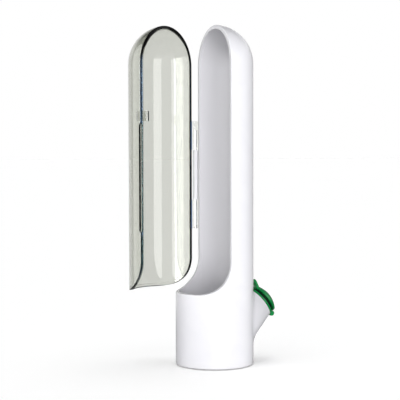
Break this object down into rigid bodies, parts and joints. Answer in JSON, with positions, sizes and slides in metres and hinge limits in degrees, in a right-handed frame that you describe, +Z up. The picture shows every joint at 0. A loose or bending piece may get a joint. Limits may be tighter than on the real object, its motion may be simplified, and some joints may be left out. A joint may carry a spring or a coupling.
{
  "type": "herb keeper",
  "caption": "Slim upright herb keeper: white half-round back on a round water base, clear cover swinging on a side hinge, green capped filler neck low on the back.",
  "frame": {"origin": "centre of the foot pad's underside, on the surface the keeper stands on and on the axis of its round base", "axes": "+Z up along the pod; -Y towards the open side and the cover; +Y towards the filler neck; -X towards the cover's hinge"},
  "size_m": [0.0794, 0.1111, 0.2605],
  "materials": {
    "white_body": "moulded, glossy white",
    "white_base": "moulded, fine matt white",
    "seal_rubber": "soft grey silicone",
    "foot_rubber": "matt grey, soft",
    "clear_cover": "clear, polished, faintly green",
    "hinge_steel": "drawn rod",
    "green_plastic": "satin green",
    "green_rubber": "soft dark green"
  },
  "bodies": {
    "keeper": {"body_shell": "white_body", "base_plate": "white_base", "base_seal": "seal_rubber", "foot_pad": "foot_rubber", "cover_hinge_pin": "hinge_steel", "filler_collar": "green_plastic", "filler_hinge_pin": "hinge_steel"},
    "cover": {"cover_shell": "clear_cover"},
    "filler_lid": {"filler_cap": "green_plastic", "filler_stopper": "green_rubber"}
  },
  "joints": [
    {"name": "cover_hinge", "type": "hinge", "parent": "keeper", "child": "cover", "pos_m": [-0.0341, 0, 0.1455], "axis": [0, 0, -1], "range_deg": [-64.55, 70.45]},
    {"name": "cap_hinge", "type": "hinge", "parent": "keeper", "child": "filler_lid", "pos_m": [0, 0.04811, 0.0366], "axis": [-1, 0, 0], "range_deg": [0, 130]}
  ]
}
